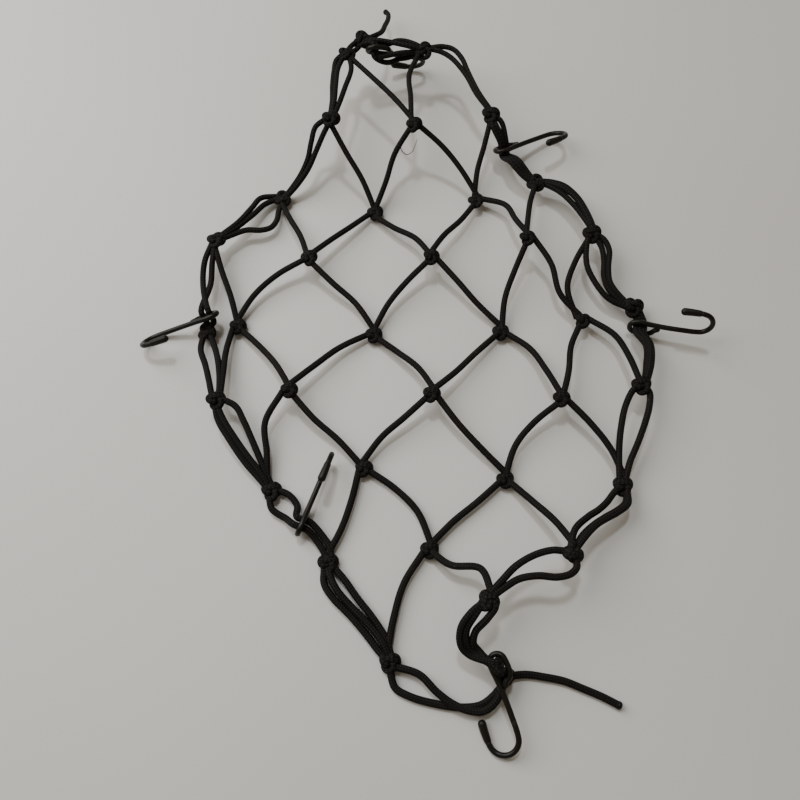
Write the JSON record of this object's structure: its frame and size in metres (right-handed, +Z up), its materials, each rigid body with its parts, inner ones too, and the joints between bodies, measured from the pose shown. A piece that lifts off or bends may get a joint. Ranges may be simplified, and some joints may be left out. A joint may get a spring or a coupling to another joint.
{
  "type": "cargo net with hooks",
  "caption": "Slack knotted elastic cargo net with a diamond mesh, a border of doubled cords and wire hooks threaded on it by closed eyes.",
  "frame": {"origin": "centre of the bottom of the whole part's box, on the surface that the net lies on", "axes": "+X across the net, to the right as pictured; +Y up its length, from the end with the long tail to the raised end; +Z up, away from the surface"},
  "size_m": [0.359, 0.5058, 0.0407],
  "materials": {
    "elastic_cord": "braided black elastic cord, matt",
    "coated_wire": "black plastic-coated steel wire, semi-gloss",
    "dipped_cap": "black dipped rubbery cap, satin"
  },
  "bodies": {
    "root": {"net": "elastic_cord", "hook_top_wire": "coated_wire", "hook_top_cap": "dipped_cap", "hook_upper_right_wire": "coated_wire", "hook_upper_right_cap": "dipped_cap", "hook_right_wire": "coated_wire", "hook_right_cap": "dipped_cap", "hook_bottom_wire": "coated_wire", "hook_bottom_cap": "dipped_cap", "hook_lower_left_wire": "coated_wire", "hook_lower_left_cap": "dipped_cap", "hook_left_wire": "coated_wire", "hook_left_cap": "dipped_cap"}
  },
  "joints": []
}
